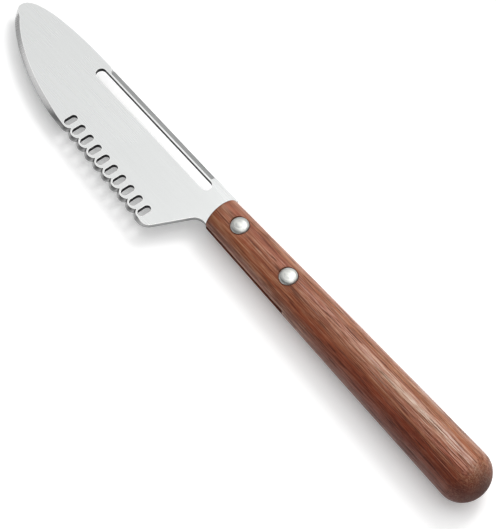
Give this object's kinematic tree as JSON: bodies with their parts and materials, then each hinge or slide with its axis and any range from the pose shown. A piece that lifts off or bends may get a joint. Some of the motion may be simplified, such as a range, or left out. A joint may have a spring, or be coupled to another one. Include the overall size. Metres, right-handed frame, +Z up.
{
  "type": "butter knife",
  "caption": "Spreading knife: stamped steel blade with a long slot beside the spine and holes along a lobed edge, riveted into a turned wooden handle.",
  "frame": {"origin": "middle of the footprint, on the surface the handle's widest part lies on", "axes": "+X from the blade's tip to the handle's butt, +Y towards the spine, +Z up, square to the sheet"},
  "size_m": [0.2134, 0.029, 0.0167],
  "materials": {
    "satin_steel": "satin rolled sheet, ground edges brushed across the edge",
    "turned_wood": "reddish-brown fine-grained hardwood, oiled to a low sheen",
    "polished_steel": "polished, with fine wear"
  },
  "bodies": {
    "root": {"blade": "satin_steel", "handle": "turned_wood", "front_rivet_post": "polished_steel", "front_rivet_socket": "polished_steel", "rear_rivet_post": "polished_steel", "rear_rivet_socket": "polished_steel"}
  },
  "joints": []
}
